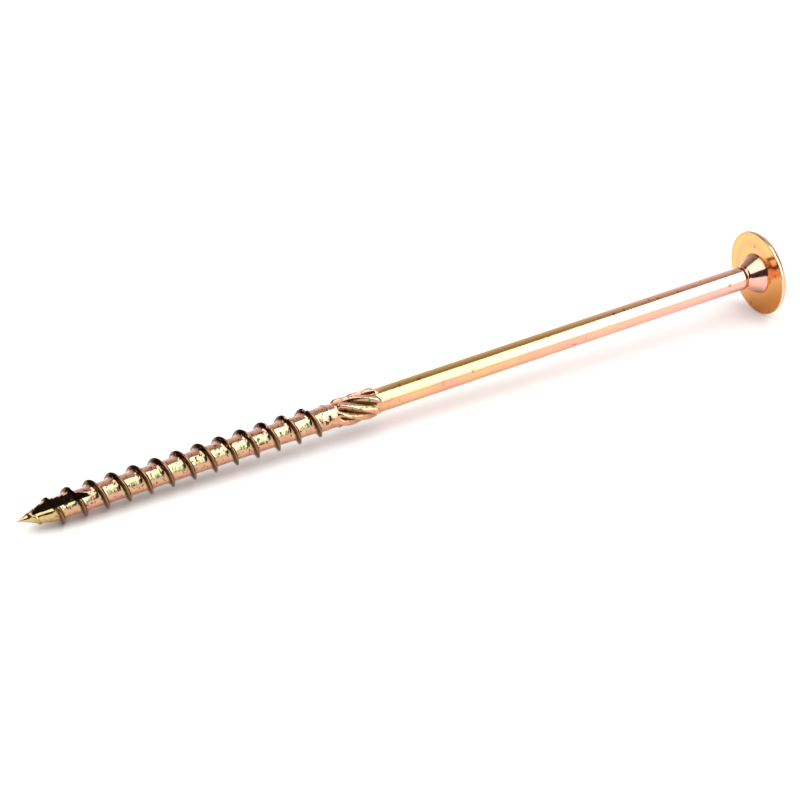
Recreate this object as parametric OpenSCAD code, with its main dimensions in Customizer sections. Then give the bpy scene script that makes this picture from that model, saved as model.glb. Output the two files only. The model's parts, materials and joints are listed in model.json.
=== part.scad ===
// Washer head wood screw for timber, about 8 x 200 mm, lying as it comes to rest.
// Turned and rolled from one piece of steel wire: point, thread, shank cutter, shank and head.
// The screw is built along its own axis, point at zero, and then laid on its side.

/* [Overall] */
// Length from the point to the washer's bearing face
screw_l = 200; // [140:5:300]
// Diameter of the smooth shank
shank_d = 5.8; // [5.5:0.1:6.4]

/* [Thread] */
// Diameter over the thread's crests
thread_d = 7.8; // [7.2:0.1:8.4]
// Diameter of the core between the turns
core_d = 5.3; // [4.8:0.1:5.4]
// Advance of the thread in one turn
pitch = 5.4; // [4.6:0.1:6.2]
// Distance from the point to the end of the thread
thread_l = 79; // [60:1:90]
// Width of the flat on the crest
crest_w = 0.4; // [0.3:0.05:0.6]
// Width of the ridge where it leaves the core
ridge_w = 1.5; // [1.2:0.1:2]
// Length over which the ridge dies away at the end
run_out_l = 3; // [2:0.5:6]
// Length before the end of the thread where the core swells to the shank
neck_l = 6; // [4:0.5:9]

/* [Point] */
// Length of the tapering point
point_l = 9.5; // [7:0.5:13]
// Distance from the point at which the thread reaches its full diameter
full_l = 10; // [8:0.5:14]
// Crest radius that the ridge grows from at the very point
point_crest = 0.3; // [0.2:0.05:0.5]
// Distance from the point at which the ridge starts
ridge_start = 1.25; // [1.1:0.05:2]

/* [Cutting notch] */
// Distance from the point to the end of the notch
notch_l = 17.3; // [14:0.1:22]
// Length over which the notch's floor rises to the core at that end
notch_ramp = 4.8; // [3:0.1:6]
// Distance of the notch's floor from the axis
notch_floor = 1.1; // [0.8:0.05:1.6]
// Distance of the notch's side wall from the axis
notch_wall = 0.34; // [0.2:0.02:0.8]
// Turn about the axis from the start of the thread to the notch
notch_turn = 135; // [90:7.5:180]

/* [Crest nicks] */
// Nicks rolled into the crest near the end of the thread, one a turn
nick_count = 5; // [0:1:8]
// Distance from the point to the last nick
nick_l = 72.6; // [50:0.1:75]
// Depth of a nick
nick_depth = 0.5; // [0.2:0.1:0.8]
// Angle that a nick takes up round the axis
nick_span = 16; // [12:1:24]
// Angle along the ridge from one nick to the next
nick_step = 347.5; // [330:0.5:360]

/* [Shank cutter] */
// Number of ribs round the shank
rib_count = 7; // [6:1:9]
// Diameter over the ribs
rib_d = 7; // [6.8:0.1:7.6]
// Diameter at the bottom of the grooves between the ribs
groove_d = 5.3; // [5:0.1:5.4]
// Length of the ribs
rib_l = 11.5; // [8:0.5:16]
// Length in which a rib would go once round
rib_lead = 37; // [30:1:60]
// Turn about the axis from the start of the thread to a groove's foot at the thread's side
rib_turn = 39; // [0:1:51]
// Plain length between the thread and the ribs
rib_gap = 0.8; // [0.6:0.1:3]
// Height of the step where the shank starts behind the ribs
shank_step = 0.12; // [0.08:0.02:0.2]

/* [Head] */
// Diameter of the washer
washer_d = 21.4; // [18:0.2:25]
// Thickness of the washer at its rim
rim_t = 1.4; // [1.2:0.1:2]
// Chamfer on the rim's two edges
rim_edge = 0.25; // [0.15:0.05:0.4]
// Height of the head above the bearing face
head_h = 3; // [2.6:0.1:4]
// Diameter of the flat crown round the drive recess
crown_d = 11; // [9:0.5:13]
// Diameter of the neck cone at the bearing face
cone_d = 10.1; // [8.6:0.1:12]
// Length of the neck cone
cone_l = 3.4; // [2.5:0.1:5]
// Height of the small collar where the cone meets the shank
collar_h = 0.18; // [0.1:0.02:0.3]
// Length of that collar
collar_l = 0.5; // [0.3:0.1:1]

/* [Drive recess] */
// Size of the six-lobe recess over its lobes
lobe_d = 6.75; // [6:0.05:7]
// Size of the recess between its lobes
valley_d = 4.85; // [4.3:0.05:5]
// Depth of the recess to the foot of its walls
recess_depth = 3.6; // [3:0.1:4]
// Depth of the cone below the walls
recess_cone = 0.8; // [0.4:0.1:1]

/* [Rest] */
// Turn of the screw about its own axis as it lies
rest_turn = 10.8; // [0:0.1:40]

/* [Hidden] */
$fn = 96;

plated_steel = [0.80, 0.62, 0.37];

// One turn of the thread and one ring of the ribs have the same number of steps
steps_per_rib = 7;
steps = rib_count * steps_per_rib;
step_angle = 360 / steps;
lobes = 6;
lobe_steps = 72;

// The ridge's section along the axis, from its own middle: foot, crest, crest, foot, middle of the root
section = [-ridge_w / 2, -crest_w / 2, crest_w / 2, ridge_w / 2, pitch / 2];
columns = len(section);
first_row = ceil(ridge_start / pitch * steps);
last_row = floor(thread_l / pitch * steps) - 1;
rows = last_row - first_row;
ridge_grow = steps / 6;
// Room that the last turn leaves each point of the section past the end of the thread
end_room = [-0.4, -0.2, 0, 0.2, 0.4];

// Rings of the shank cutter: where each lies, as a share of the ribs' length, and how far the ribs have risen there
rib_start = thread_l + rib_gap;
rib_end = rib_start + rib_l;
rib_rise = [[0, 0], [0.06, 0.7], [0.13, 1], [0.25, 1], [0.37, 1], [0.49, 1], [0.61, 1], [0.73, 1],
            [0.84, 1], [0.93, 0.75], [0.98, 0.3]];
rib_section = [0, 0.7, 0.95, 1, 1, 0.95, 0.7];
// The groove is met by the nearest step, and the rings turn by what is left over
groove_step = round((rib_turn - step_angle * last_row) / step_angle);
groove_rest = rib_turn - step_angle * (last_row + groove_step);
join_r = shank_d / 2 - shank_step;
join_l = 1;
join_lap = 0.3;

// A number that goes from 0 at a to 1 at b
function ramp(x, a, b) = max(0, min(1, (x - a) / (b - a)));

// What is left of a number after whole portions are taken off
function left_over(a, portion) = a - portion * floor(a / portion);

// Radius of the core at distance s from the point: a rounded taper, the plain core, then the neck
function core_r(s) =
    s < point_l ? core_d / 2 * sin(90 * s / point_l)
    : core_d / 2 + (shank_d - core_d) / 2 * ramp(s, thread_l - neck_l, thread_l - neck_l / 2);

// Radius that the crest is allowed at distance s from the point
function full_crest_r(s) = point_crest + (thread_d / 2 - point_crest) * ramp(s, 0, full_l);

// Share of its height that the ridge has on a row: it grows at the point and dies away at the end
function ridge_share(row, s) =
    ramp(row, first_row, first_row + ridge_grow) * pow(1 - ramp(s, thread_l - run_out_l, thread_l), 2);

// Depth of the nick in the crest on a row
function nick(row) =
    let (behind = (nick_l / pitch - row / steps) * 360, number = round(behind / nick_step))
    number >= 0 && number < nick_count && abs(behind - number * nick_step) < nick_span / 2 ? nick_depth : 0;

// Radius that the notch leaves at an angle: its floor faces one way and its side wall stands square to that
function notch_r(angle, s) =
    let (b = left_over(angle - notch_turn, 360),
         floor_r = notch_floor + (core_d / 2 - notch_floor) * ramp(s, notch_l - notch_ramp, notch_l))
    s > notch_l || b <= 0 || b >= 90 ? thread_d : max(notch_wall / cos(b), floor_r / sin(b));

// Radius of one point of the ridge's section on a row
function section_r(row, column, s) =
    let (core = core_r(s), rise = full_crest_r(s) - core)
    column == 1 || column == 2 ? core + max(0, rise * ridge_share(row, s) - nick(row) * ridge_share(row, s)) : core;

// A point on the screw from its angle, radius and distance along the axis
function at(angle, r, s) = [r * cos(angle), r * sin(angle), s];

function row_point(row, column) =
    let (angle = step_angle * row,
         s = min(pitch * row / steps + section[column], thread_l + end_room[column]))
    at(angle, min(section_r(row, column, s), notch_r(angle, s)), s);

// Turn of a ring of the shank cutter; the first one follows the thread
function ring_turn(share) = share > 0 ? groove_rest + 360 * share * rib_l / rib_lead : 0;

// One ring of the shank cutter, turned with the ribs
function ring_points(share, rise) =
    let (s = rib_start + share * rib_l, turn = ring_turn(share))
    [for (i = [0 : steps - 1])
        let (angle = step_angle * (last_row + i) + turn,
             place = left_over(i - groove_step, steps_per_rib),
             ribbed = groove_d / 2 + (rib_d - groove_d) / 2 * rib_section[place],
             plain = share < 0.5 ? shank_d / 2 : join_r)
        at(angle, plain + (ribbed - plain) * rise, s)];

// A plain ring inside the start of the shank
function join_points(s) = [for (i = [0 : steps - 1])
    at(step_angle * (last_row + i) + ring_turn(1), join_r, s)];

// Point, thread and shank cutter as one closed skin
module threaded_end() {
    thread_points = [for (i = [0 : rows]) for (j = [0 : columns - 1]) row_point(first_row + i, j)];
    ribs = [for (ring = rib_rise) ring_points(ring[0], ring[1])];
    joins = [join_points(rib_end), join_points(rib_end + join_l)];
    rings = concat(ribs, joins);
    ring_base = len(thread_points);
    tip = ring_base + len(rings) * steps;
    points = concat(thread_points, [for (ring = rings) each ring], [[0, 0, 0]]);

    // Numbers of a point of the thread and of a point of a ring
    function v(i, j) = i * columns + j;
    function w(k, i) = ring_base + k * steps + i % steps;
    // Two triangles between four points
    function quad(a, b, c, d) = [[a, b, c], [a, c, d]];

    ridge_faces = [for (i = [0 : rows - 1]) for (j = [0 : columns - 2])
        each quad(v(i, j), v(i, j + 1), v(i + 1, j + 1), v(i + 1, j))];
    root_faces = [for (i = [0 : rows - steps - 1])
        each quad(v(i, columns - 1), v(i + steps, 0), v(i + steps + 1, 0), v(i + 1, columns - 1))];
    tip_faces = concat(
        [for (i = [0 : steps - 1]) [tip, v(i, 0), v(i + 1, 0)]],
        [for (j = [0 : columns - 2]) [tip, v(0, j + 1), v(0, j)]],
        [[tip, v(steps, 0), v(0, columns - 1)]]);
    base = rows - steps;
    top = columns - 1;
    // The last turn runs into the first ring, with the loose end of the ridge in the first gap
    run_faces = concat(
        [for (i = [1 : steps - 1]) each quad(v(base + i, top), w(0, i), w(0, i + 1), v(base + i + 1, top))],
        [[w(0, 1), v(rows, top), w(0, 0)]],
        [for (j = [0 : columns - 2]) [w(0, 1), v(rows, j), v(rows, j + 1)]],
        [[w(0, 1), v(base, top), v(rows, 0)]],
        [[w(0, 1), v(base + 1, top), v(base, top)]]);
    ring_faces = [for (k = [0 : len(rings) - 2]) for (i = [0 : steps - 1])
        each quad(w(k, i), w(k + 1, i), w(k + 1, i + 1), w(k, i + 1))];
    end_face = [[for (i = [0 : steps - 1]) w(len(rings) - 1, steps - 1 - i)]];
    polyhedron(points, concat(ridge_faces, root_faces, tip_faces, run_faces, ring_faces, end_face), convexity = 20);
}

// Shank, neck cone and washer, turned about the axis
module shank_and_head() {
    shank_r = shank_d / 2;
    washer_r = washer_d / 2;
    cone_start = screw_l - cone_l;
    rotate_extrude()
        polygon([[0, rib_end + join_lap],
                 [shank_r, rib_end + join_lap],
                 [shank_r, cone_start - collar_l],
                 [shank_r + collar_h, cone_start - collar_l + collar_h],
                 [shank_r + collar_h, cone_start],
                 [cone_d / 2, screw_l - rim_edge],
                 [cone_d / 2, screw_l],
                 [washer_r - rim_edge, screw_l],
                 [washer_r, screw_l + rim_edge],
                 [washer_r, screw_l + rim_t - rim_edge],
                 [washer_r - rim_edge, screw_l + rim_t],
                 [crown_d / 2, screw_l + head_h],
                 [0, screw_l + head_h]]);
}

// Six-lobe recess for the driver, open at the crown
module drive_recess() {
    middle = (lobe_d + valley_d) / 4;
    swing = (lobe_d - valley_d) / 4;
    wall_foot = screw_l + head_h - recess_depth;
    translate([0, 0, wall_foot])
        linear_extrude(height = recess_depth + head_h)
            polygon([for (i = [0 : lobe_steps - 1])
                let (a = 360 * i / lobe_steps, r = middle + swing * cos(lobes * a))
                [r * cos(a), r * sin(a)]]);
    translate([0, 0, wall_foot - recess_cone])
        cylinder(h = recess_cone + rim_edge, r1 = rim_edge, r2 = valley_d / 2 - rim_edge);
}

// The lowest full crest near the point and the washer's edge lie on the same flat surface
rest_crest = pitch * (ceil(full_l / pitch + rest_turn / 360) - rest_turn / 360) - crest_w / 2;
rest_rim = screw_l + rim_edge;
lean = atan((washer_d - thread_d) / 2 / (rest_rim - rest_crest));
point_height = washer_d / 2 * cos(lean) - rest_rim * sin(lean);
reach = (screw_l + head_h) * cos(lean) + crown_d / 2 * sin(lean);

module screw() {
    color(plated_steel)
        translate([-reach / 2, 0, point_height])
            rotate([0, 90 - lean, 0])
                rotate([0, 0, rest_turn])
                    union() {
                        threaded_end();
                        difference() {
                            shank_and_head();
                            drive_recess();
                        }
                    }
}

screw();
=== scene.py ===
import json
import math

import bmesh
import bpy
from mathutils import Matrix, Vector, noise


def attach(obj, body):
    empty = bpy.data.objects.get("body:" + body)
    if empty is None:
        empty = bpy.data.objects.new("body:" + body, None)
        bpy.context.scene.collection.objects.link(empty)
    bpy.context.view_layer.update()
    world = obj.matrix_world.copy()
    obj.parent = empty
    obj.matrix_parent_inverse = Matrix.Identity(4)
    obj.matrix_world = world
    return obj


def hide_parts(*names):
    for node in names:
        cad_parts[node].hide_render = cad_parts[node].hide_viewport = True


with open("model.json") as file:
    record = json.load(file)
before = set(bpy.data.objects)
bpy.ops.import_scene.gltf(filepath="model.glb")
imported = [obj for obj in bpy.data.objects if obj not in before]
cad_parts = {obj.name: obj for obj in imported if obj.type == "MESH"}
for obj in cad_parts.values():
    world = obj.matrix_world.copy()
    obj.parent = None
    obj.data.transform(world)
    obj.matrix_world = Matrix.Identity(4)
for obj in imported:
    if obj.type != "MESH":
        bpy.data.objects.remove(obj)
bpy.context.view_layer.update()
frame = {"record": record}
mounts = {mount["name"]: mount for mount in frame["record"]["mounts"]}
mm = 0.001

# The screw, in millimetres along its own axis with the point at zero; angles in degrees round it
screwSizes = {
    "length": 200.0,  # point to bearing face
    "headHeight": 3.0,
    "shankR": 2.9,
    "crestR": mounts["wood_thread"]["dims"]["r_mm"] - 0.006,  # just inside the facets of the solid
    "coreR": 2.65,
    "pitch": 5.4,
    "threadEnd": mounts["wood_thread"]["dims"]["length_mm"],
    "stepsPerTurn": 126,
    "mergeGap": 0.001,
    "sharpAngle": 48.0,  # edges sharper than this aren't smoothed
    "restTurn": 10.8,
}

# Ridge section: each side's distance from the crest at half height, its steepness, and where its foot fades
ridgeSizes = {
    "tipSide": (0.48, 3.6, (0.9, 1.8)),
    "headSide": (0.45, 3.8, (0.7, 1.3)),
    "points": 33,
    "crowding": 1.7,  # draws the points towards the crest
    "darkFrom": (0.1, 0.4),  # share of the height where the ridge's painted shade starts and is full
    "lighterOnCrestFrom": (0.97, 1.0),  # where the painted shade lightens on the crest
    "lighterOnCrest": 0.3,
    "darkAlong": (3.0, 6.0),
}

# Point, neck and run-out of the thread
pointSizes = {
    "taper": 9.5,  # length of the rounded taper
    "nose": (0.27, 0.5),  # radius and length of the blunt nose
    "fullThread": 10.0,  # where the crest reaches its full radius
    "crestAtTip": 0.3,
    "crestGrowth": 0.84,  # under 1, the crest rises faster at first
    "ridgeFrom": (1.5, 4.2),  # where the ridge starts and has grown
    "skinFrom": (4.0, 9.0),  # where the uneven skin of the core starts and has grown
    "skinEnd": 1.0,  # length over which it ends before the shank cutter
    "runOut": 3.0,
    "neck": (73.0, 76.0),  # where the core swells to the shank
}

# Quarter notch that lets the point cut: a floor that faces sideways and a wall square to it
notchSizes = {
    "turn": 133.6,
    "wall": 0.3,  # distance of the wall from the axis
    "floorAtTip": 0.25,  # distance of the floor from the axis, near the point
    "tipPlace": 4.0,
    "front": (3.0, 4.5),  # the floor drops from the skin to its depth between these
    "skinAtFront": 1.7,
    "leastFloor": 0.15,
    "floorSlope": 0.11,
    "rampFrom": 12.6,  # from here the floor climbs to the core
    "end": 17.4,
    "roll": 0.2,  # how far the core rolls over along the wall's edge
    "rollFrom": 70.0,  # degrees on from the notch's turn
    "rollFade": (82.0, 98.0),
    "rollStart": (2.6, 3.8),
    "rollEnd": (16.0, 17.6),
    "ragged": (0.8, 0.5, 1.7),  # the lip's usual share of the roll, how far that drifts, waves along
    "tear": 0.09,  # torn grain on the cut faces
    "tearWaves": [(2.2, 0.12, 7.0, 1.0), (5.0, 0.3, 2.0, 0.5)],  # waves along and round, seed, strength
    "tearFade": 0.3,  # depth of the cut at which the grain is fully torn
    "leastR": 0.05,
}

# Nicks in the crest near the end of the thread, about one a turn
nickSizes = {
    "count": 5,
    "last": 72.6,
    "depth": 0.55,
    "span": 13.0,  # degrees on either side
    "flat": 0.3,  # share of the span at full depth
    "step": 347.5,  # degrees from one to the next
}

# Shank cutter
ribSizes = {
    "count": 7,
    "start": 79.5,
    "end": 91.2,
    "ribR": 3.5,
    "grooveR": 2.32,
    "gentle": 2.0,  # the side before a rib's crest is round
    "steep": 1.35,  # the side after it is a nearly straight cutting face
    "crestAt": 0.68,  # share of a rib's width before its crest
    "roundEnd": 1.6,  # how far the sides of a rib end before its crest does
    "uneven": 5.0,  # degrees that the ribs' widths drift
    "lead": 37.0,
    "turn": 39.0,  # angle of a groove where the ribs start
    "startLength": 1.3,  # the ribs rise over this length
    "endLength": 0.9,
    "wave": (0.04, 2.0, 0.9),  # unevenness: height, waves round the shank and along it
    "darkness": 1.2,  # above 1, the painted shade keeps to the grooves
    "skin": 0.7,  # share of the core's wrinkles on the ribs
    "rings": 44,
}

# Flats and dents left by the rolling dies: place, angle, length along the axis, length round it, depth
rollingDents = [
    (65.8, 236, 0.3, 0.8, 0.05),
    (71.3, 236, 0.22, 1.0, 0.06),
    (70.4, 246, 0.3, 0.5, 0.04),
    (75.7, 200, 0.3, 0.7, 0.07),
    (76.9, 227, 0.75, 1.0, 0.1),
    (79.0, 236, 0.35, 0.9, 0.1),
    (77.9, 200, 0.5, 0.7, 0.05),
    (79.2, 150, 0.3, 1.2, 0.08),
    (77.0, 90, 0.7, 1.1, 0.09),
    (78.2, 330, 0.6, 1.0, 0.09),
    (25.6, 244, 0.3, 0.5, 0.05),
    (46.2, 236, 0.25, 0.6, 0.05),
]

# Uneven skin of the rolled core: wave along the axis, wave round it, height
rolledSkin = {"fine": (0.42, 1.5, 0.016), "broad": (1.6, 2.2, 0.03)}


def ramp(value, low, high):
    return max(0.0, min(1.0, (value - low) / (high - low)))


def smoothRamp(value, low, high):
    t = ramp(value, low, high)
    return t * t * (3 - 2 * t)


def coreRadius(s):
    if s < pointSizes["taper"]:
        noseR, noseLength = pointSizes["nose"]
        taperR = screwSizes["coreR"] * math.sin(math.pi / 2 * max(s, 0) / pointSizes["taper"])
        return max(taperR, noseR * math.sqrt(ramp(s, 0, noseLength)))
    swell = screwSizes["shankR"] - screwSizes["coreR"]
    return screwSizes["coreR"] + swell * smoothRamp(s, *pointSizes["neck"])


def crestRadius(s):
    rise = screwSizes["crestR"] - pointSizes["crestAtTip"]
    grown = ramp(s, 0, pointSizes["fullThread"]) ** pointSizes["crestGrowth"]
    return pointSizes["crestAtTip"] + rise * grown


def ridgeShare(s):
    runOut = ramp(s, screwSizes["threadEnd"] - pointSizes["runOut"], screwSizes["threadEnd"])
    return ramp(s, *pointSizes["ridgeFrom"]) * (1 - runOut) ** 2


def ridgeSection():
    # over one pitch: place along the axis from the crest, and share of the ridge's height
    section = []
    for i in range(ridgeSizes["points"]):
        t = 2 * i / (ridgeSizes["points"] - 1) - 1
        offset = screwSizes["pitch"] / 2 * abs(t) ** ridgeSizes["crowding"]
        half, steepness, fade = ridgeSizes["tipSide"] if t < 0 else ridgeSizes["headSide"]
        share = (1 - ramp(offset, *fade)) / (1 + (offset / half) ** steepness)
        section.append((math.copysign(offset, t), share))
    return section


def nickDepth(angle, s):
    # how far along the ridge, in degrees, this place lies before the last nick
    along = s / screwSizes["pitch"] * 360
    along = angle + 360 * round((along - angle) / 360)
    behind = nickSizes["last"] / screwSizes["pitch"] * 360 - along
    number = round(behind / nickSizes["step"])
    if number < 0 or number >= nickSizes["count"]:
        return 0.0
    off = abs(behind - number * nickSizes["step"])
    span = nickSizes["span"]
    return nickSizes["depth"] * (1 - smoothRamp(off, span * nickSizes["flat"], span))


def skinHeight(x, y, s):
    height = 0.0
    for waveAlong, waveRound, size in rolledSkin.values():
        height += size * noise.noise(Vector((x / waveRound, y / waveRound, s / waveAlong)))
    return height


def dentDepth(angle, r, s):
    depth = 0.0
    reach = 2.5  # a dent has died away at this many times its size
    for place, turn, alongSize, roundSize, deep in rollingDents:
        along = (s - place) / alongSize
        if abs(along) > reach:
            continue
        roundOff = math.radians((angle - turn + 180) % 360 - 180) * r / roundSize
        depth += deep * math.exp(-along ** 4 - roundOff ** 4)
    return depth


def notchRadius(angle, s):
    # radius that the notch leaves, or None where it doesn't reach
    b = (angle - notchSizes["turn"]) % 360
    if b <= 0 or b >= 90 or s > notchSizes["end"]:
        return None
    rampFrom, end = notchSizes["rampFrom"], notchSizes["end"]
    floorR = notchSizes["floorAtTip"]
    floorR += notchSizes["floorSlope"] * (min(s, rampFrom) - notchSizes["tipPlace"])
    if s > rampFrom:
        floorR += (screwSizes["coreR"] - floorR) * ramp(s, rampFrom, end)
    skin = notchSizes["skinAtFront"] * (1 - ramp(s, *notchSizes["front"]))
    floorR = max(floorR, skin, notchSizes["leastFloor"])
    b = math.radians(b)
    return max(notchSizes["wall"] / math.cos(b), floorR / math.sin(b))


def edgeRoll(angle, s):
    # the core rolls over towards the wall's edge, with a ragged lip
    b = (angle - notchSizes["turn"]) % 360
    if b < notchSizes["rollFrom"]:
        return 0.0
    along = smoothRamp(s, *notchSizes["rollStart"]) * (1 - smoothRamp(s, *notchSizes["rollEnd"]))
    usual, drift, waves = notchSizes["ragged"]
    ragged = usual + drift * noise.noise(Vector((s * waves, 4.0, 0.5)))
    return notchSizes["roll"] * along * ragged * (1 - ramp(b, *notchSizes["rollFade"]))


def makeThread(bm, layers):
    # one section is spun through a turn of the helix and copied turn by turn, past both ends of the thread;
    # shapeThreadPoint then presses what stands past them flat
    pitch = screwSizes["pitch"]
    startTurns = -1.5
    spareTurns = 0.6
    end = ribSizes["start"]
    coreR, crestR = screwSizes["coreR"], screwSizes["crestR"]
    startAngle = math.radians(360 * startTurns)
    section = []
    for offset, share in ridgeSection():
        r = coreR + share * (crestR - coreR)
        place = (r * math.cos(startAngle), r * math.sin(startAngle), startTurns * pitch + offset)
        section.append(bm.verts.new(place))
    edges = [bm.edges.new(pair) for pair in zip(section, section[1:])]
    steps = screwSizes["stepsPerTurn"]
    bmesh.ops.spin(
        bm, geom=section + edges, axis=(0, 0, 1), cent=(0, 0, 0), dvec=(0, 0, pitch / steps),
        angle=math.radians(360), steps=steps)
    firstTurn = bm.verts[:] + bm.edges[:] + bm.faces[:]
    turns = math.ceil(end / pitch + spareTurns - startTurns)
    for turn in range(1, turns):
        copied = bmesh.ops.duplicate(bm, geom=firstTurn)["geom"]
        points = [item for item in copied if isinstance(item, bmesh.types.BMVert)]
        bmesh.ops.translate(bm, vec=(0, 0, turn * pitch), verts=points)
    bmesh.ops.remove_doubles(bm, verts=bm.verts, dist=screwSizes["mergeGap"])
    for v in bm.verts:
        shapeThreadPoint(v, end, layers)
    bmesh.ops.remove_doubles(bm, verts=bm.verts, dist=screwSizes["mergeGap"] / 2)
    print("thread made, points:", len(bm.verts))


def shapeThreadPoint(v, end, layers):
    x, y, s = v.co
    angle = math.degrees(math.atan2(y, x)) % 360
    share = (math.hypot(x, y) - screwSizes["coreR"]) / (screwSizes["crestR"] - screwSizes["coreR"])
    s = max(0.0, min(end, s))
    core = coreRadius(s)
    rise = max(0.0, crestRadius(s) - core) * ridgeShare(s)
    rise = max(0.0, rise - nickDepth(angle, s) * ridgeShare(s))
    r = core + share * rise
    a = math.radians(angle)
    rolled = (1 - share) * ramp(s, *pointSizes["skinFrom"])
    rolled *= 1 - smoothRamp(s, end - pointSizes["skinEnd"], end)
    r += rolled * (skinHeight(core * math.cos(a), core * math.sin(a), s) - dentDepth(angle, core, s))
    r -= edgeRoll(angle, s)
    left = notchRadius(angle, s)
    cut = 0.0
    if left is not None and left < r:
        tear = 0.0
        for wavesAlong, wavesRound, seed, strength in notchSizes["tearWaves"]:
            tear += strength * noise.noise(Vector((s * wavesAlong, angle * wavesRound, seed)))
        left += notchSizes["tear"] * tear * ramp(r - left, 0, notchSizes["tearFade"])
        r = max(notchSizes["leastR"], min(r, left))
        cut = 1.0
    if s < screwSizes["mergeGap"]:
        r = 0.0
        s = 0.0
    # the notch's cut faces get a near-black painted shade and a duller gloss
    v[layers["cutNotch"]] = cut
    v[layers["rolledSkin"]] = rolled
    # painted shade over the ridge, lighter on its crest
    flank = smoothRamp(share, *ridgeSizes["darkFrom"])
    flank *= 1 - ridgeSizes["lighterOnCrest"] * smoothRamp(share, *ridgeSizes["lighterOnCrestFrom"])
    v[layers["paintedShade"]] = flank * ramp(s, *ridgeSizes["darkAlong"]) * ridgeShare(s)
    v.co = (r * math.cos(a), r * math.sin(a), s)


def openEdges(bm):
    return [e for e in bm.edges if e.is_boundary]


def growRing(bm, s, turn, radiusOf):
    # extrudes the open edge on to a new ring
    made = bmesh.ops.extrude_edge_only(bm, edges=openEdges(bm))
    ring = [item for item in made["geom"] if isinstance(item, bmesh.types.BMVert)]
    for v in ring:
        angle = math.degrees(math.atan2(v.co.y, v.co.x)) + turn
        r = radiusOf(angle % 360)
        v.co = (r * math.cos(math.radians(angle)), r * math.sin(math.radians(angle)), s)
    return ring


def ribPlace(angle, s):
    # place across a rib: -1 and 1 in the grooves, 0 on its crest
    period = 360 / ribSizes["count"]
    angle += ribSizes["uneven"] * math.sin(math.radians(2 * (angle - 360 * s / ribSizes["lead"])))
    groove = ribSizes["turn"] + 360 * (s - ribSizes["start"]) / ribSizes["lead"]
    u = ((angle - groove) % period) / period
    if u < ribSizes["crestAt"]:
        return u / ribSizes["crestAt"] - 1
    return (u - ribSizes["crestAt"]) / (1 - ribSizes["crestAt"])


def ribShare(angle, s):
    # 0 in a groove, 1 on a rib
    place = ribPlace(angle, s)
    return 1 - abs(place) ** (ribSizes["gentle"] if place < 0 else ribSizes["steep"])


def ribRise(angle, s):
    # the ribs die away at both ends, each with a round end of its own
    rise = smoothRamp(s, ribSizes["start"], ribSizes["start"] + ribSizes["startLength"])
    end = ribSizes["end"] - ribSizes["roundEnd"] * ribPlace(angle, s) ** 2
    return rise * (1 - smoothRamp(s, end - ribSizes["endLength"], end))


def ribRadius(angle, s):
    rib = ribShare(angle, s)
    r = ribSizes["grooveR"] + (ribSizes["ribR"] - ribSizes["grooveR"]) * rib
    a = math.radians(angle)
    height, wavesRound, wavesAlong = ribSizes["wave"]
    where = Vector((math.cos(a) * wavesRound, math.sin(a) * wavesRound, s * wavesAlong))
    r += height * noise.noise(where)
    return screwSizes["shankR"] + (r - screwSizes["shankR"]) * ribRise(angle, s)


def makeRibs(bm, layers):
    step = (ribSizes["end"] - ribSizes["start"]) / ribSizes["rings"]
    for i in range(1, ribSizes["rings"] + 1):
        s = ribSizes["start"] + i * step
        ring = growRing(bm, s, 360 * step / ribSizes["lead"], lambda angle: ribRadius(angle, s))
        for v in ring:
            angle = math.degrees(math.atan2(v.co.y, v.co.x)) % 360
            # painted shade in the grooves between the ribs
            v[layers["paintedShade"]] = (1 - ribShare(angle, s)) ** ribSizes["darkness"] * ribRise(angle, s)
            v[layers["rolledSkin"]] = ribSizes["skin"] * ribRise(angle, s)
    print("shank cutter made, points:", len(bm.verts))


# Corners of shank and head: place from the bearing face, radius, and radius of the corner's rounding
headCorners = [
    (-108.0, screwSizes["shankR"], 0),
    (-4.95, screwSizes["shankR"], 1.2),  # ring groove at the neck
    (-4.05, 2.65, 0.5),
    (-3.58, 3.09, 0.1),
    (-0.34, 5.05, 0.3),  # cone
    (0, 5.07, 0.05),
    (0, 10.715, 0.36),  # washer and its tapered rim
    (0.75, 10.65, 1.6),
    (1.43, 10.3, 0.14),
    (screwSizes["headHeight"], 5.45, 3.0),  # crown
    (screwSizes["headHeight"], 3.9, 0),
]
cornerSteps = 6


def roundedOutline(corners):
    # a corner with a rounding becomes a short curve between its two sides
    points = []
    for i, (place, r, rounding) in enumerate(corners):
        corner = Vector((place, r))
        if not rounding:
            points.append(corner)
            continue
        back = (Vector(corners[i - 1][:2]) - corner).normalized()
        on = (Vector(corners[i + 1][:2]) - corner).normalized()
        reach = rounding / math.tan(back.angle(on) / 2)
        for step in range(cornerSteps + 1):
            t = step / cornerSteps
            coming = (corner + back * reach).lerp(corner, t)
            going = corner.lerp(corner + on * reach, t)
            points.append(coming.lerp(going, t))
    return points


# Six-lobe recess: depth below the crown and share of the outline
recessSizes = {
    "lobeR": mounts["drive_socket"]["dims"]["r_mm"],
    "valleyR": 2.425,
    "lobes": 6,
    "steps": [
        (0.0, 1.05), (0.04, 1.02), (0.14, 1.0), (1.2, 0.995),
        (2.4, 0.99), (3.45, 0.98), (3.58, 0.94), (3.6, 0.85),
    ],
    "cone": [(3.95, 1.4), (4.3, 0.5)],  # depth and radius below the walls
}


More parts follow.
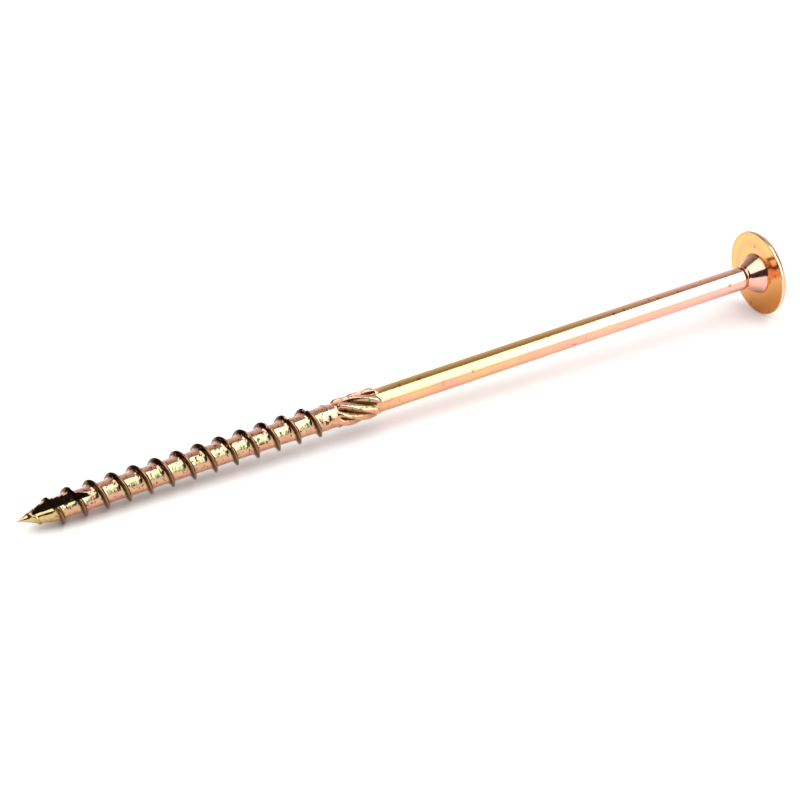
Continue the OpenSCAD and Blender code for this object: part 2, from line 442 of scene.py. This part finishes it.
def makeHead(bm, layers):
    for place, r in roundedOutline(headCorners):
        for v in growRing(bm, screwSizes["length"] + place, 0, lambda angle: r):
            for layer in layers.values():
                v[layer] = 0.0
    crown = screwSizes["length"] + screwSizes["headHeight"]
    middle = (recessSizes["lobeR"] + recessSizes["valleyR"]) / 2
    swing = (recessSizes["lobeR"] - recessSizes["valleyR"]) / 2
    for depth, share in recessSizes["steps"]:
        growRing(bm, crown - depth, 0, lambda angle: share * (
            middle + swing * math.cos(math.radians(recessSizes["lobes"] * angle))))
    for depth, r in recessSizes["cone"]:
        growRing(bm, crown - depth, 0, lambda angle: r)
    bmesh.ops.holes_fill(bm, edges=openEdges(bm), sides=0)
    print("shank and head made, points:", len(bm.verts))


def screwLean():
    return math.asin(Vector(mounts["drive_socket"]["axis"]).normalized().z)


def screwPlace():
    # from the screw's own millimetres to its place as it lies
    socket = mounts["drive_socket"]
    axis = Vector(socket["axis"]).normalized()
    tip = Vector(socket["pos_m"]) - axis * (screwSizes["length"] + screwSizes["headHeight"]) * mm
    lie = Matrix.Rotation(math.pi / 2 - screwLean(), 4, "Y")
    roll = Matrix.Rotation(math.radians(screwSizes["restTurn"]), 4, "Z")
    return Matrix.Translation(tip) @ lie @ roll @ Matrix.Scale(mm, 4)


def makeScrew():
    bm = bmesh.new()
    names = ("cutNotch", "rolledSkin", "paintedShade")
    for name in names:
        bm.verts.layers.float.new(name)
    layers = {name: bm.verts.layers.float[name] for name in names}
    makeThread(bm, layers)
    makeRibs(bm, layers)
    makeHead(bm, layers)
    bmesh.ops.recalc_face_normals(bm, faces=bm.faces)
    bmesh.ops.transform(bm, matrix=screwPlace(), verts=bm.verts)
    mesh = bpy.data.meshes.new("screw_plated")
    bm.to_mesh(mesh)
    bm.free()
    for face in mesh.polygons:
        face.use_smooth = True
    mesh.set_sharp_from_angle(angle=math.radians(screwSizes["sharpAngle"]))
    piece = bpy.data.objects.new("screw_plated", mesh)
    bpy.context.scene.collection.objects.link(piece)
    return piece


def linearColour(code):
    # sRGB hex to the linear colour that sockets take
    parts = [int(code[i:i + 2], 16) / 255 for i in (1, 3, 5)]
    return tuple(p / 12.92 if p <= 0.04045 else ((p + 0.055) / 1.055) ** 2.4 for p in parts) + (1.0,)


def addNode(tree, kind, settings=None, sockets=None):
    # settings are the node's own options; a socket takes a value or another node's output
    node = tree.nodes.new(kind)
    for name, value in (settings or {}).items():
        setattr(node, name, value)
    for name, value in (sockets or {}).items():
        if isinstance(value, bpy.types.NodeSocket):
            tree.links.new(value, node.inputs[name])
        else:
            node.inputs[name].default_value = value
    return node


def setLevels(stops, levels):
    # grey levels at places from 0 to 1 along a colour ramp
    for stop, (place, level) in zip(stops, (levels[0], levels[-1])):
        stop.position, stop.color = place, (level, level, level, 1)
    for place, level in levels[1:-1]:
        stops.new(place).color = (level, level, level, 1)


# Yellow passivated zinc on rolled steel: a bright metal whose thin film drifts from gold to pink; some
# colours below are painted highlight, reflection and shade
platingColours = {
    "gold": "#DFB280",
    "pink": "#E6A386",
    "rose": "#EFB4A3",  # towards the head
    "green": "#ABA87E",  # painted highlight tint: greenish on the side of the thread where the highlight falls
    "point": "#C3BA70",  # yellow-green at the point
    "olive": "#C6A057",  # painted reflection of the room: on the other side, from the shank cutter to the cone
    # painted shade in the pits of the rolled core, on the side where the highlight falls
    "fleck": "#3A2A1A",
    "threadPink": "#D29080",
    "threadGold": "#D4A773",
    "threadUpLight": "#F2B49A",  # painted light: lighter on the side of the core that lies up
    "flank": "#5E4628",  # painted shade on the ridges and in the rib grooves; also the colour of scuffs
    "washer": "#F0BF6B",
    "washerPink": "#EFA67B",
    "washerLowShade": "#CB8640",  # painted shade: darker on the side of the washer that lies low
    "rim": "#DFBFA3",
    "cut": "#17110C",  # painted shade: the notch's torn cut faces near black
}

# Sides that a film or a painted light or shade keeps to
platingSides = {
    "highlightSide": 222.0,  # degrees round the axis from straight down; the side where the highlight falls
    "upSide": 168.0,
    "lowSide": (0.8, -0.6, 0.0),  # a direction across the axis
    # strength of the painted olive reflection at places along the screw
    "oliveAlong": [(76, 0.0), (86, 0.25), (94, 1.0), (140, 0.9), (180, 0.2), (196, 0.2), (197, 0.4)],
}

# Noise: size round the axis and along it in mm, detail, roughness, shift
platingNoise = {
    "clouds": (9.0, 9.0, 3.0, 0.5, (0, 0, 0)),  # drift of the film's colour
    "mottle": (1.4, 1.4, 2.0, 0.5, (0, 0, 0)),  # small patches of it
    "flecks": (0.9, 0.45, 1.0, 0.5, (3.1, 7.7, 1.3)),  # pits of the rolled core
    "scuffs": (2.2, 2.2, 4.0, 0.65, (0, 0, 0)),
    "wrinkles": (1.6, 0.35, 2.0, 0.5, (0, 0, 0)),  # they run round the rolled core
    "grain": (0.25, 0.25, 2.0, 0.5, (0, 0, 0)),  # of the plating
    "drawn": (0.3, 9.0, 3.0, 0.5, (0, 0, 0)),  # lines of the drawn wire
}

# Rings round the axis: mm between them, distortion, detail, scale of the detail
platingRings = {
    "pinkBands": (3.0, 2.5, 2.0, 0.6),  # in the washer's film
    "turned": (0.8, 1.5, 2.0, 1.0),  # left on the washer by the forming tool
}

# Shares: what each one follows, where it starts and ends, and its value at either
platingShares = {
    "drift": ("clouds", 0.35, 0.65, 0, 1),
    "threadMottle": ("mottle", 0.42, 0.62, 0, 1),
    "patchy": ("mottle", 0.28, 0.5, 0, 1),
    "gloss": ("mottle", 0.3, 0.7, 0.11, 0.19),  # roughness of the plating
    "pits": ("flecks", 0.61, 0.69, 1, 0),
    "pitted": ("flecks", 0.61, 0.69, 0, 1),
    "scuffed": ("scuffs", 0.62, 0.7, 0, 0.7),
    "rose": ("along", 120.0, 185.0, 0, 1),
    "thread": ("along", 90.0, 96.0, 1, 0),
    "point": ("along", 3.0, 13.0, 0.6, 0),
    "washer": ("along", 199.6, 199.95, 0, 1),
    "wholeLength": ("along", 0.0, screwSizes["length"], 0, 1),
    "rim": ("out", 10.5, 10.64, 0, 1),
    "onHighlightSide": ("highlightSide", 0.66, 0.95, 0, 1),
    "pitSide": ("highlightSide", 0.35, 0.85, 0.15, 1),
    "turnedUp": ("upSide", 0.5, 0.95, 0, 0.85),
    "low": ("lowSide", -2.0, 8.5, 0, 0.95),
}

# Shares multiplied together
platingProducts = {
    "greenHere": ("onHighlightSide", "patchy", "rolledSkin"),
    "oliveHere": ("turnedUp", "oliveAlong"),
    "upHere": ("turnedUp", "thread"),
    "pitHere": ("pitted", "rolledSkin", "pitSide"),
    "wrinkleHeight": ("wrinkles", "rolledSkin"),
    "pitHeight": ("pits", "rolledSkin"),
    "turnedHeight": ("turned", "washer"),
}

# Film, share, and the colour or film that is laid over it
platingLayers = [
    ("threadFilm", "threadMottle", "threadGold"),
    ("washerFilm", "bands", "washerPink"),
    ("washerFilm", "low", "washerLowShade"),
    ("washerFilm", "rim", "rim"),
    ("screwFilm", "drift", "pink"),
    ("screwFilm", "rose", "rose"),
    ("screwFilm", "thread", "threadFilm"),
    ("screwFilm", "greenHere", "green"),
    ("screwFilm", "point", "point"),
    ("screwFilm", "oliveHere", "olive"),
    ("screwFilm", "upHere", "threadUpLight"),
    ("screwFilm", "washer", "washerFilm"),
    ("screwFilm", "paintedShade", "flank"),
    ("screwFilm", "cutNotch", "cut"),
    ("screwFilm", "pitHere", "fleck"),
    ("screwFilm", "scuffed", "flank"),
]

# Bumps and their height in mm
platingBumps = {
    "wrinkleHeight": 0.035, "pitHeight": 0.08, "grain": 0.0015, "drawn": 0.003, "turnedHeight": 0.004,
}
bandStrength = 0.6  # against the drift of the film
cutRoughness = 0.4


def platedSteel():
    material = bpy.data.materials.new("yellow_passivated_zinc")
    material.use_nodes = True
    tree = material.node_tree
    shader = tree.nodes["Principled BSDF"]
    shader.inputs["Metallic"].default_value = 1.0

    # the screw's own millimetres, z along its axis
    where = addNode(tree, "ShaderNodeMapping", {"vector_type": "TEXTURE"}, {
        "Vector": addNode(tree, "ShaderNodeTexCoord").outputs["Object"],
        "Location": screwPlace().translation,
        "Rotation": (0, math.pi / 2 - screwLean(), 0),
        "Scale": (mm, mm, mm)}).outputs[0]
    flat = addNode(tree, "ShaderNodeVectorMath", {"operation": "MULTIPLY"}, {
        0: where, 1: (1, 1, 0)}).outputs[0]
    across = addNode(tree, "ShaderNodeVectorMath", {"operation": "NORMALIZE"}, {0: flat}).outputs[0]

    # what the shares follow: places, sides, noise, rings and the mesh's own attributes
    found = {
        "along": addNode(tree, "ShaderNodeSeparateXYZ", None, {"Vector": where}).outputs["Z"],
        "out": addNode(tree, "ShaderNodeVectorMath", {"operation": "LENGTH"}, {0: flat}).outputs["Value"],
        "lowSide": addNode(tree, "ShaderNodeVectorMath", {"operation": "DOT_PRODUCT"}, {
            0: where, 1: platingSides["lowSide"]}).outputs["Value"],
    }
    for name in ("highlightSide", "upSide"):
        side = math.radians(platingSides[name])
        found[name] = addNode(tree, "ShaderNodeVectorMath", {"operation": "DOT_PRODUCT"}, {
            0: across, 1: (math.cos(side), math.sin(side), 0)}).outputs["Value"]
    for name in ("rolledSkin", "cutNotch", "paintedShade"):
        found[name] = addNode(tree, "ShaderNodeAttribute", {"attribute_name": name}).outputs["Fac"]
    for name, (sizeRound, sizeAlong, detail, roughness, shift) in platingNoise.items():
        scaled = addNode(tree, "ShaderNodeMapping", None, {
            "Vector": where, "Location": shift, "Scale": (1 / sizeRound, 1 / sizeRound, 1 / sizeAlong)})
        found[name] = addNode(tree, "ShaderNodeTexNoise", None, {
            "Vector": scaled.outputs[0], "Scale": 1.0, "Detail": detail,
            "Roughness": roughness}).outputs["Fac"]
    for name, (size, distortion, detail, detailScale) in platingRings.items():
        # a wave of scale 1 repeats 20 times in 2 pi
        found[name] = addNode(tree, "ShaderNodeTexWave", {"wave_type": "RINGS", "rings_direction": "Z"}, {
            "Vector": where, "Scale": 2 * math.pi / (20 * size), "Distortion": distortion,
            "Detail": detail, "Detail Scale": detailScale}).outputs["Fac"]

    # shares and their products
    for name, (follows, start, end, low, high) in platingShares.items():
        soft = "SMOOTHSTEP" if follows == "flecks" else "LINEAR"
        found[name] = addNode(tree, "ShaderNodeMapRange", {"interpolation_type": soft}, {
            "Value": found[follows], "From Min": start, "From Max": end,
            "To Min": low, "To Max": high}).outputs["Result"]
    found["bands"] = addNode(tree, "ShaderNodeMix", {"data_type": "FLOAT"}, {
        "Factor": bandStrength, 2: found["drift"], 3: found["pinkBands"]}).outputs[0]
    oliveAlong = addNode(tree, "ShaderNodeValToRGB", None, {"Fac": found["wholeLength"]})
    levels = [(place / screwSizes["length"], level) for place, level in platingSides["oliveAlong"]]
    setLevels(oliveAlong.color_ramp.elements, levels)
    found["oliveAlong"] = oliveAlong.outputs["Color"]
    for name, (first, *others) in platingProducts.items():
        product = found[first]
        for other in others:
            product = addNode(tree, "ShaderNodeMath", {"operation": "MULTIPLY"}, {
                0: product, 1: found[other]}).outputs[0]
        found[name] = product

    # colour: layers of film, one over the other, among them painted light and shade
    colours = {name: linearColour(code) for name, code in platingColours.items()}
    colours["threadFilm"] = colours["threadPink"]
    colours["washerFilm"] = colours["washer"]
    colours["screwFilm"] = colours["gold"]
    for film, share, over in platingLayers:
        colours[film] = addNode(tree, "ShaderNodeMix", {"data_type": "RGBA"}, {
            "Factor": found[share], 6: colours[film], 7: colours[over]}).outputs[2]
    tree.links.new(colours["screwFilm"], shader.inputs["Base Color"])

    # gloss: bright all over with duller patches, dull on the torn notch
    gloss = addNode(tree, "ShaderNodeMix", {"data_type": "FLOAT"}, {
        "Factor": found["cutNotch"], 2: found["gloss"], 3: cutRoughness})
    tree.links.new(gloss.outputs[0], shader.inputs["Roughness"])

    bumped = {}
    for name, height in platingBumps.items():
        bump = addNode(tree, "ShaderNodeBump", None, {
            "Strength": 1.0, "Distance": height * mm, "Height": found[name], **bumped})
        bumped = {"Normal": bump.outputs[0]}
    tree.links.new(bumped["Normal"], shader.inputs["Normal"])
    print("plating made, nodes:", len(tree.nodes))
    return material


piece = makeScrew()
piece.data.materials.append(platedSteel())
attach(piece, "root")
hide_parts("screw")
print("triangles:", sum(len(p.vertices) - 2 for p in piece.data.polygons))

# White table with soft light: metres and degrees; a brightness of 1 is white
studio = {
    "floorR": 14.0,
    "floorWhite": "#FCFCFC",
    "room": (0.2, 2.4),  # its light on the table: height where it starts, strength straight above
    "wallSide": (0.7, 0.714, 0.0),  # the pale wall; the room darkens away from it
    "walls": [
        (0.0, 0.04), (0.08, 0.06), (0.2, 0.28), (0.34, 0.34),
        (0.46, 0.38), (0.62, 0.52), (0.86, 0.85), (1.0, 1.0),
    ],
    # panels side by side: place, size and brightness; those over the thread are dimmer
    "overhead": [
        ((-0.25, -0.42, 0.8), (0.94, 0.86), 2.2),
        ((0.55, -0.42, 0.8), (0.66, 0.86), 4.0),
        ((-0.36, 0.165, 0.8), (0.72, 0.31), 2.2),
    ],
    "sideFar": 1.4,
    "sideColumns": [(22.5, 0.37, 0.65), (47.5, 0.88, 1.0)],  # turn, width and share of the brightness
    "sideStrips": [(0.02, 0.16, 1.8), (0.16, 0.36, 2.6), (0.36, 1.1, 4.0)],  # low and high edge, brightness
}


def makeFloor():
    bm = bmesh.new()
    bmesh.ops.create_circle(bm, cap_ends=True, segments=64, radius=studio["floorR"])
    mesh = bpy.data.meshes.new("table")
    bm.to_mesh(mesh)
    bm.free()
    floor = bpy.data.objects.new("table", mesh)
    bpy.context.scene.collection.objects.link(floor)
    material = bpy.data.materials.new("white_table_paper")
    material.use_nodes = True
    tree = material.node_tree
    tree.nodes.clear()
    paper = addNode(tree, "ShaderNodeBsdfDiffuse", None, {"Color": linearColour(studio["floorWhite"])})
    addNode(tree, "ShaderNodeOutputMaterial", None, {"Surface": paper.outputs[0]})
    mesh.materials.append(material)


def makeLamp(name, place, aim, size, brightness):
    lamp = bpy.data.lights.new(name, "AREA")
    lamp.shape = "RECTANGLE"
    lamp.size, lamp.size_y = size
    lamp.energy = brightness * math.pi * size[0] * size[1]
    lampObject = bpy.data.objects.new(name, lamp)
    bpy.context.scene.collection.objects.link(lampObject)
    lampObject.location = place
    lampObject.rotation_euler = (Vector(aim) - Vector(place)).to_track_quat("-Z", "Y").to_euler()
    lampObject.visible_camera = False
    lampObject.visible_diffuse = False  # softboxes show in the metal; the room lights the table


def makeLight():
    for number, (place, size, brightness) in enumerate(studio["overhead"]):
        under = (place[0], place[1] + 0.0001, 0)  # a hair off straight down, so that its turn is settled
        makeLamp("overhead_softbox_%d" % number, place, under, size, brightness)
    far = studio["sideFar"]
    for degrees, wide, share in studio["sideColumns"]:
        turn = math.radians(degrees)
        for low, high, brightness in studio["sideStrips"]:
            place = (far * math.sin(turn), -far * math.cos(turn), (low + high) / 2)
            makeLamp("side_softbox", place, (0, 0, place[2]), (wide, high - low), brightness * share)

    # dark room on the near side and at the left, pale wall behind at the right
    world = bpy.data.worlds.new("studio_room")
    bpy.context.scene.world = world
    world.use_nodes = True
    tree = world.node_tree
    towards = addNode(tree, "ShaderNodeTexCoord").outputs["Generated"]
    back = addNode(tree, "ShaderNodeVectorMath", {"operation": "DOT_PRODUCT"}, {
        0: towards, 1: studio["wallSide"]})
    walls = addNode(tree, "ShaderNodeValToRGB", None, {"Fac": back.outputs["Value"]})
    setLevels(walls.color_ramp.elements, studio["walls"])
    above = addNode(tree, "ShaderNodeSeparateXYZ", None, {"Vector": towards}).outputs["Z"]
    start, strength = studio["room"]
    onTable = addNode(tree, "ShaderNodeMapRange", None, {
        "Value": above, "From Min": start, "To Max": strength})
    room = addNode(tree, "ShaderNodeMix", {"data_type": "RGBA"}, {
        "Factor": addNode(tree, "ShaderNodeLightPath").outputs["Is Diffuse Ray"],
        6: walls.outputs["Color"], 7: onTable.outputs["Result"]})
    tree.links.new(room.outputs[2], tree.nodes["Background"].inputs["Color"])
    print("studio made")


# Camera fitted to the photograph: millimetres, and degrees from straight ahead and down
cameraSizes = {
    "place": (-296.86, -500.58, 354.89),
    "turn": 30.32,
    "down": 31.1,
    "lens": 130.24,
    "frame": 36.0,  # width of the sensor
}


def makeCamera():
    camera = bpy.data.cameras.new("camera")
    camera.lens = cameraSizes["lens"]
    camera.sensor_width = cameraSizes["frame"]
    cameraObject = bpy.data.objects.new("camera", camera)
    bpy.context.scene.collection.objects.link(cameraObject)
    cameraObject.location = Vector(cameraSizes["place"]) * mm
    turn, down = math.radians(cameraSizes["turn"]), math.radians(cameraSizes["down"])
    look = Vector((math.cos(down) * math.sin(turn), math.cos(down) * math.cos(turn), -math.sin(down)))
    cameraObject.rotation_euler = look.to_track_quat("-Z", "Y").to_euler()
    bpy.context.scene.camera = cameraObject


makeFloor()
makeLight()
makeCamera()
bpy.context.scene.view_settings.view_transform = "Standard"
